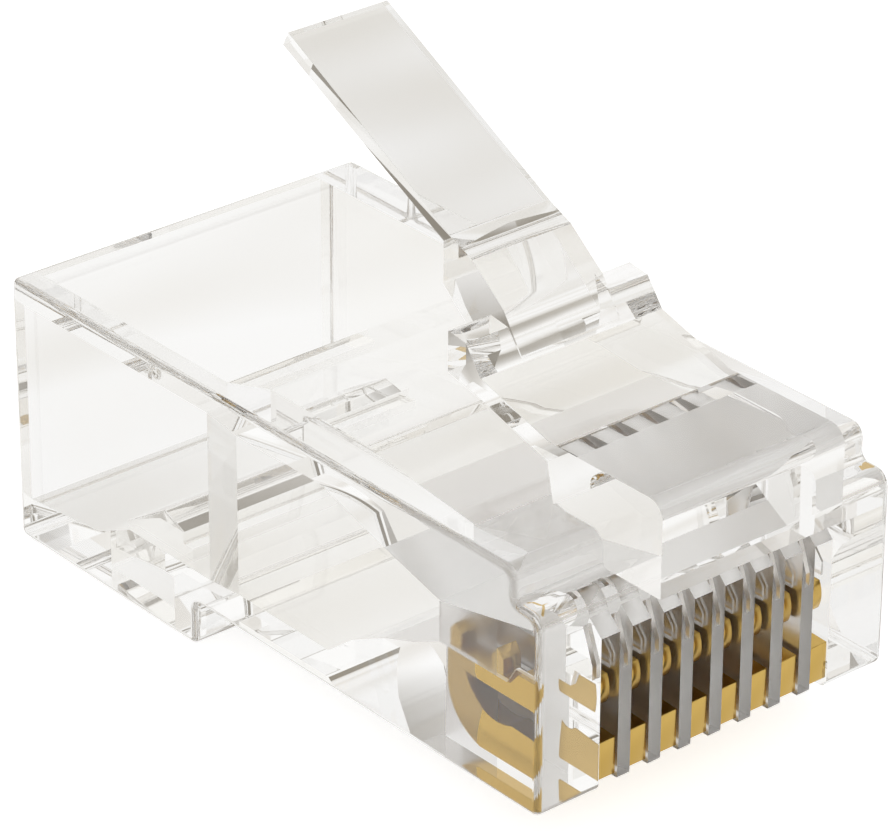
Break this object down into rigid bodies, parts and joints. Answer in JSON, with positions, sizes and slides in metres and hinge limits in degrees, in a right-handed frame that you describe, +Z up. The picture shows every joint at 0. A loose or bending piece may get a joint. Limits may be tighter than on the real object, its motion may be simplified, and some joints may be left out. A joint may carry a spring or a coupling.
{
  "type": "modular plug",
  "caption": "Clear modular plug for twisted-pair cable, with gold contact blades in nose slots, a hollow cable entry and a springy latch lever on top.",
  "frame": {"origin": "middle of the plug's outline, latch root and body together, on the level of the rear underside", "axes": "+Z up on the latch side, -Y out of the nose towards the jack, +Y out of the cable entry, +X across the contacts"},
  "size_m": [0.0116, 0.0226, 0.016],
  "materials": {
    "clear_polycarbonate": "clear polished moulding",
    "gold_plate": "gold plate over phosphor bronze"
  },
  "bodies": {
    "plug": {"housing": "clear_polycarbonate", "contact_1": "gold_plate", "contact_2": "gold_plate", "contact_3": "gold_plate", "contact_4": "gold_plate", "contact_5": "gold_plate", "contact_6": "gold_plate", "contact_7": "gold_plate", "contact_8": "gold_plate"},
    "latch_lever": {"latch": "clear_polycarbonate"},
    "relief_bar": {"strain_relief": "clear_polycarbonate"}
  },
  "joints": [
    {"name": "latch_flex", "type": "hinge", "parent": "plug", "child": "latch_lever", "pos_m": [0, -0.00617, 0.00921], "axis": [-1, 0, 0], "range_deg": [0, 25], "stiffness_Nm_per_rad": 0.06},
    {"name": "relief_hinge", "type": "hinge", "parent": "plug", "child": "relief_bar", "pos_m": [0, 0.00822, 0.00125], "axis": [-1, 0, 0], "range_deg": [0, 35]}
  ]
}
